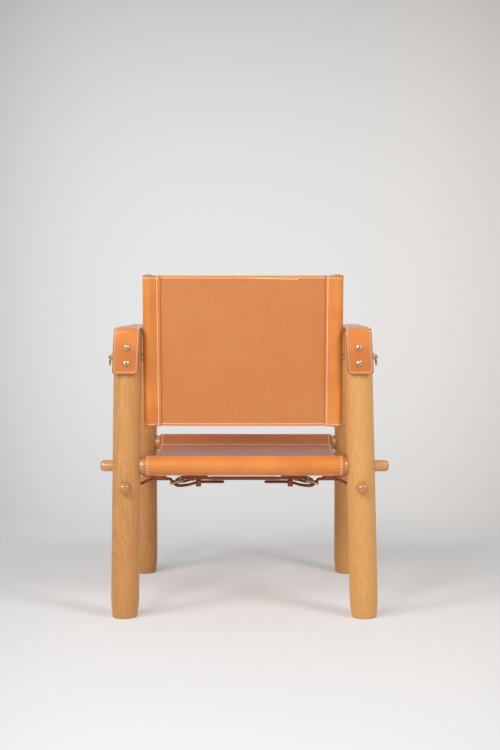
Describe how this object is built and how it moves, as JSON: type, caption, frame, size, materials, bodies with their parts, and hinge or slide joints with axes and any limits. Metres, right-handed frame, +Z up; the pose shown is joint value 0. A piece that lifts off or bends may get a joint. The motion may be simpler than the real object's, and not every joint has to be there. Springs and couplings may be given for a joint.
{
  "type": "leather sling lounge chair",
  "caption": "Knock-down lounge chair: turned oak posts and rails, leather seat and arm slings, a pivoting leather back, buckled belts below the seat.",
  "frame": {"origin": "on the floor, midway between the side rails' ends and the cross rails' ends", "axes": "+Z up, the front of the chair faces -Y, +X is the sitter's left"},
  "size_m": [0.637, 0.61, 0.7593],
  "materials": {
    "oak": "turned oak, clear satin oil",
    "sling_leather": "tan saddle leather, glazed grain side, matt flesh side",
    "arm_leather": "tan saddle leather, stitched edges",
    "belt_leather": "dark brown belt leather",
    "keeper_leather": "reddish tan leather",
    "brass": "polished brass"
  },
  "bodies": {
    "frame": {"post_rear_left": "oak", "post_rear_right": "oak", "post_front_left": "oak", "post_front_right": "oak", "rail_rear": "oak", "rail_front": "oak", "side_rail_left": "oak", "side_rail_right": "oak", "seat_sling": "sling_leather", "arm_strap_left": "arm_leather", "arm_strap_right": "arm_leather", "belt_centre_rear": "belt_leather", "arm_screw_rear_left_upper": "brass", "arm_screw_rear_left_lower": "brass", "belt_end_rear_left": "belt_leather", "belt_safe_rear_left": "belt_leather", "belt_keeper_rear_left": "keeper_leather", "buckle_frame_rear_left": "brass", "arm_screw_rear_right_upper": "brass", "arm_screw_rear_right_lower": "brass", "belt_end_rear_right": "belt_leather", "belt_safe_rear_right": "belt_leather", "belt_keeper_rear_right": "keeper_leather", "buckle_frame_rear_right": "brass", "belt_centre_front": "belt_leather", "arm_screw_front_left_upper": "brass", "arm_screw_front_left_lower": "brass", "belt_end_front_left": "belt_leather", "belt_safe_front_left": "belt_leather", "belt_keeper_front_left": "keeper_leather", "buckle_frame_front_left": "brass", "arm_screw_front_right_upper": "brass", "arm_screw_front_right_lower": "brass", "belt_end_front_right": "belt_leather", "belt_safe_front_right": "belt_leather", "belt_keeper_front_right": "keeper_leather", "buckle_frame_front_right": "brass"},
    "back": {"back_stile_left": "oak", "back_stile_right": "oak", "pivot_insert_left": "brass", "pivot_insert_right": "brass", "back_sling": "sling_leather", "pivot_bolt_left": "brass", "pivot_bolt_right": "brass", "pivot_washer_left": "brass", "pivot_washer_right": "brass"},
    "ring_left": {"bolt_ring_left": "brass"},
    "ring_right": {"bolt_ring_right": "brass"},
    "prong_rear_left": {"buckle_prong_rear_left": "brass"},
    "prong_rear_right": {"buckle_prong_rear_right": "brass"},
    "prong_front_left": {"buckle_prong_front_left": "brass"},
    "prong_front_right": {"buckle_prong_front_right": "brass"}
  },
  "joints": [
    {"name": "back_tilt", "type": "hinge", "parent": "frame", "child": "back", "pos_m": [0.00333, 0.245, 0.578], "axis": [1, 0, 0], "continuous": true},
    {"name": "ring_left_swing", "type": "hinge", "parent": "back", "child": "ring_left", "pos_m": [0.29635, 0.245, 0.578], "axis": [0, -1, 0], "range_deg": [-10, 190]},
    {"name": "ring_right_swing", "type": "hinge", "parent": "back", "child": "ring_right", "pos_m": [-0.28988, 0.245, 0.578], "axis": [0, 1, 0], "range_deg": [-10, 190]},
    {"name": "prong_rear_left_turn", "type": "hinge", "parent": "frame", "child": "prong_rear_left", "pos_m": [0.14309, 0.115, 0.28764], "axis": [0, 1, 0], "range_deg": [0, 12]},
    {"name": "prong_rear_right_turn", "type": "hinge", "parent": "frame", "child": "prong_rear_right", "pos_m": [-0.14069, 0.115, 0.28764], "axis": [0, -1, 0], "range_deg": [0, 12]},
    {"name": "prong_front_left_turn", "type": "hinge", "parent": "frame", "child": "prong_front_left", "pos_m": [0.14239, -0.115, 0.28764], "axis": [0, 1, 0], "range_deg": [0, 12]},
    {"name": "prong_front_right_turn", "type": "hinge", "parent": "frame", "child": "prong_front_right", "pos_m": [-0.14153, -0.115, 0.28764], "axis": [0, -1, 0], "range_deg": [0, 12]}
  ]
}
